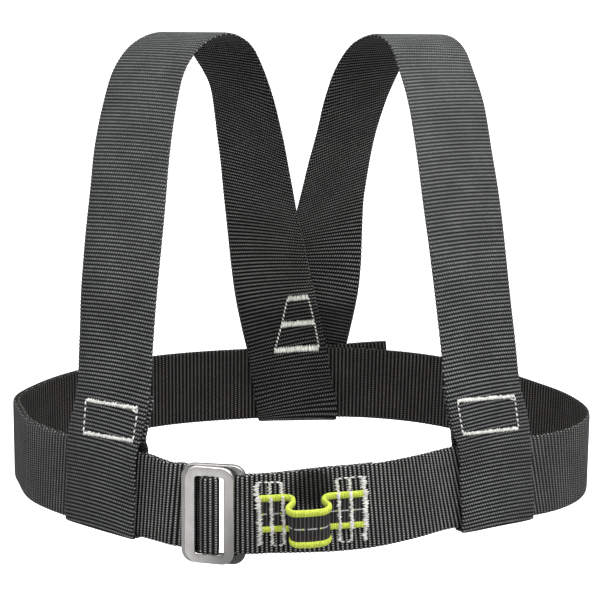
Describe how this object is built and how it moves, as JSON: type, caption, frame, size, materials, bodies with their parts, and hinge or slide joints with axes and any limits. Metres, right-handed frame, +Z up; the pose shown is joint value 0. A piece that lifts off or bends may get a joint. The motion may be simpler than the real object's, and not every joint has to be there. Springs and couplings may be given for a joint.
{
  "type": "sailing safety harness",
  "caption": "Webbing chest harness with a shoulder strap looped round the chest belt, a steel frame-and-slide buckle and a sewn tether loop at the front.",
  "frame": {"origin": "between the tops of the shoulder strap, at the height of the undersides that lie on the wearer's shoulders", "axes": "+Z up, -Y out of the wearer's chest towards the viewer, +X to the viewer's right"},
  "size_m": [0.3333, 0.3003, 0.264],
  "materials": {
    "belt_webbing": "charcoal ribbed webbing, matt",
    "strap_webbing": "charcoal ribbed webbing, matt",
    "tether_tape": "charcoal tape with lime edges, matt",
    "buckle_steel": "satin stainless steel"
  },
  "bodies": {
    "root": {"chest_belt": "belt_webbing", "shoulder_strap": "strap_webbing", "tether_loop": "tether_tape", "buckle_ring": "buckle_steel", "buckle_slide": "buckle_steel"}
  },
  "joints": []
}
